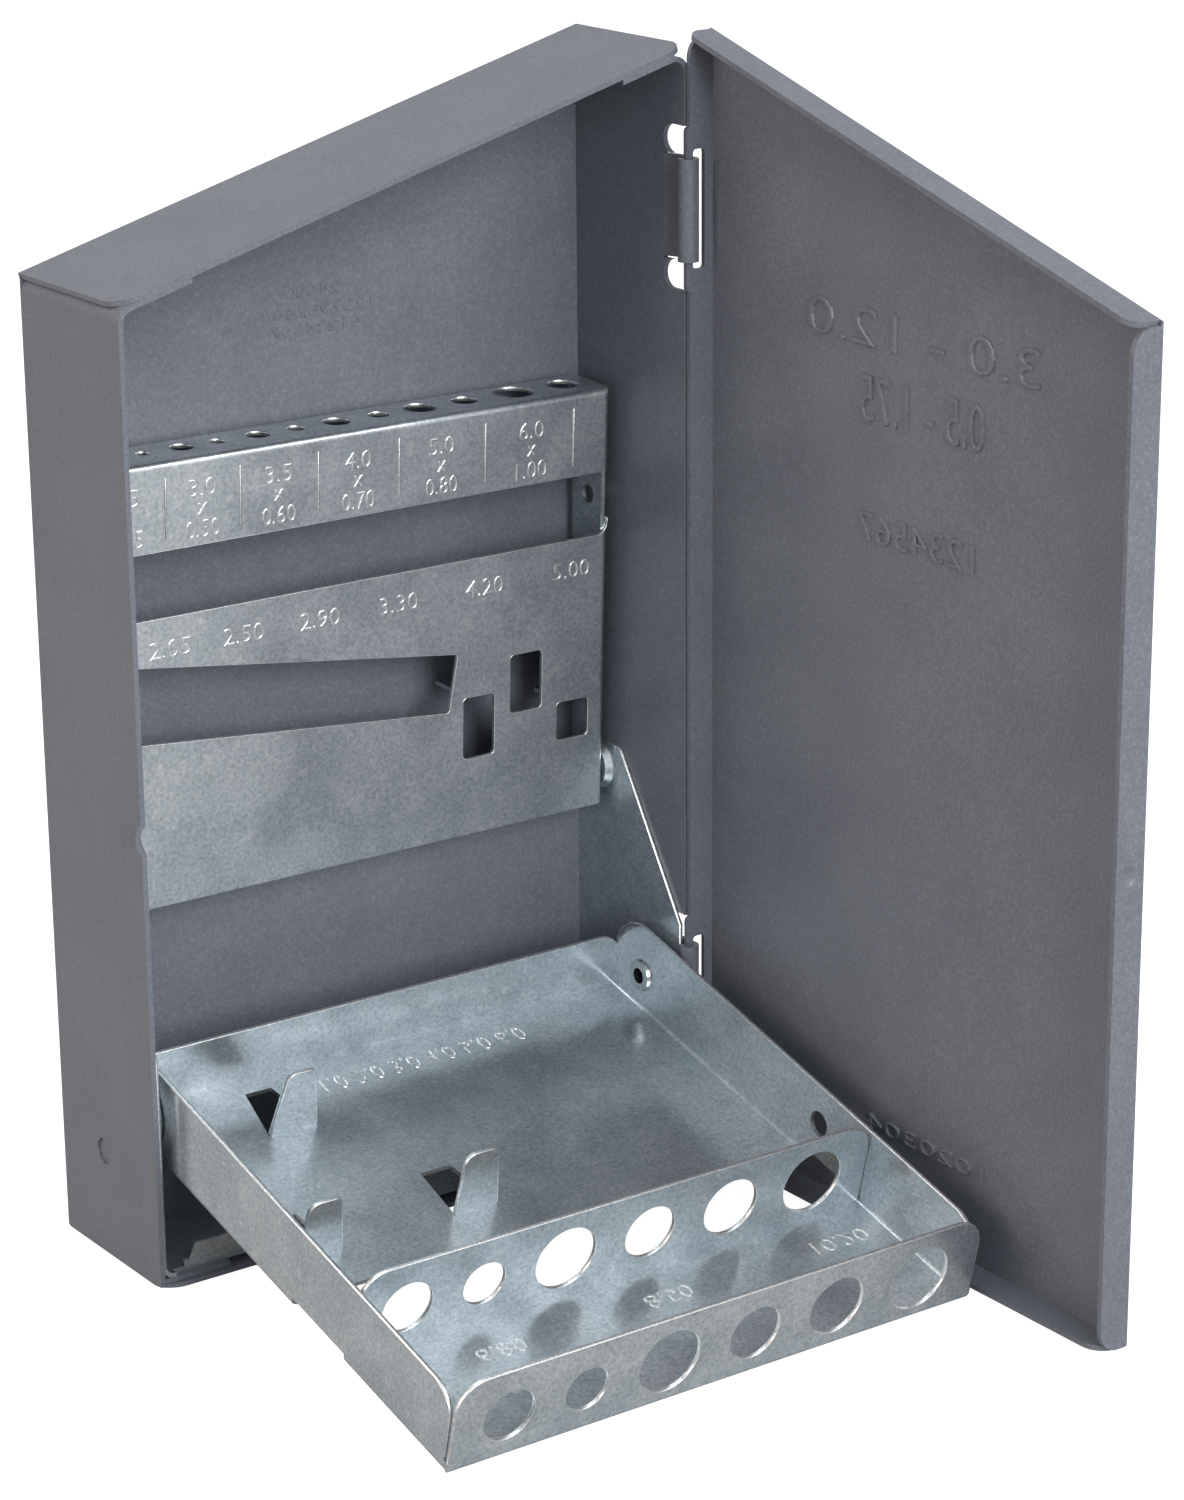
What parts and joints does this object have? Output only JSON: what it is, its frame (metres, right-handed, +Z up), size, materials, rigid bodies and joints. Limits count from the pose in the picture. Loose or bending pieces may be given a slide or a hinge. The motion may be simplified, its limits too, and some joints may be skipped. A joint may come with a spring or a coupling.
{
  "type": "drill bit drawer case",
  "caption": "Sheet-metal wall case for taps and drills with a hinged lid, a fold-down tray and a tilting upper rack, shown open and empty.",
  "frame": {"origin": "middle of the case's bottom face, where it stands on the table", "axes": "+Z up, along the case's longest side; -Y out of the open front; +X towards the lid's hinge"},
  "size_m": [0.1042, 0.1274, 0.1782],
  "materials": {
    "grey_paint": "satin",
    "galvanised": "glossy",
    "rivet_steel": "satin"
  },
  "bodies": {
    "case": {"case_body": "grey_paint", "bracket": "galvanised", "tray_pivots": "rivet_steel", "rack_pivots": "rivet_steel"},
    "lid": {"lid": "grey_paint"},
    "tray": {"tray": "galvanised"},
    "rack": {"upper_rack": "galvanised"}
  },
  "joints": [
    {"name": "lid_hinge", "type": "hinge", "parent": "case", "child": "lid", "pos_m": [0.04835, -0.01525, 0], "axis": [0, 0, 1], "range_deg": [-1, 17]},
    {"name": "tray_hinge", "type": "hinge", "parent": "case", "child": "tray", "pos_m": [0, -0.0062, 0.0262], "axis": [-1, 0, 0], "range_deg": [0, 101]},
    {"name": "rack_tilt", "type": "hinge", "parent": "case", "child": "rack", "pos_m": [0, 0.0078, 0.058], "axis": [1, 0, 0], "range_deg": [-1.5, 4]}
  ]
}
